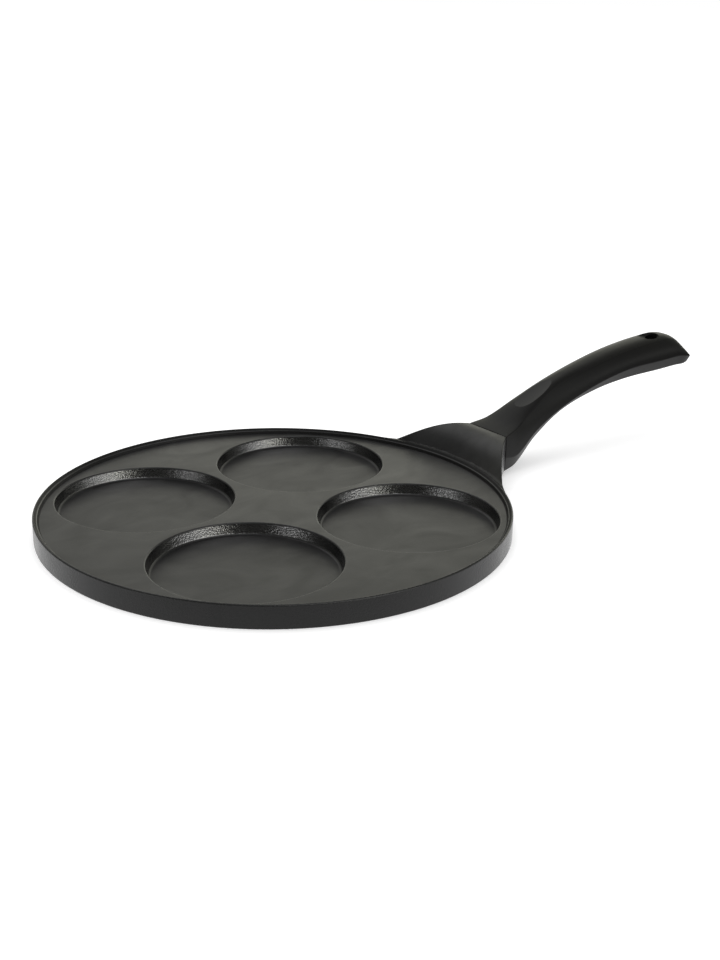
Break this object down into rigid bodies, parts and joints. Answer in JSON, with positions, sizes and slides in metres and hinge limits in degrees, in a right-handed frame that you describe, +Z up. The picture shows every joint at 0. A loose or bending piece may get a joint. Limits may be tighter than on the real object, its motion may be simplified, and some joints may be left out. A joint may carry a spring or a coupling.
{
  "type": "pancake pan",
  "caption": "Round flat cast pan with shallow round cups for small pancakes, a low rim, and a curved moulded handle with a hanging hole.",
  "frame": {"origin": "centre of the round flat base, on the plane that the pan stands on", "axes": "+X along the handle, away from the plate; +Z up; +Y to the left seen from the plate towards the handle"},
  "size_m": [0.4523, 0.26, 0.0656],
  "materials": {
    "coated_aluminium": "matt dark grey non-stick coating on cast aluminium",
    "phenolic": "satin black moulded phenolic",
    "steel": "plain zinc-plated steel"
  },
  "bodies": {
    "root": {"pan_body": "coated_aluminium", "handle": "phenolic", "handle_screw": "steel", "spring_washer": "steel", "flat_washer": "steel"}
  },
  "joints": []
}
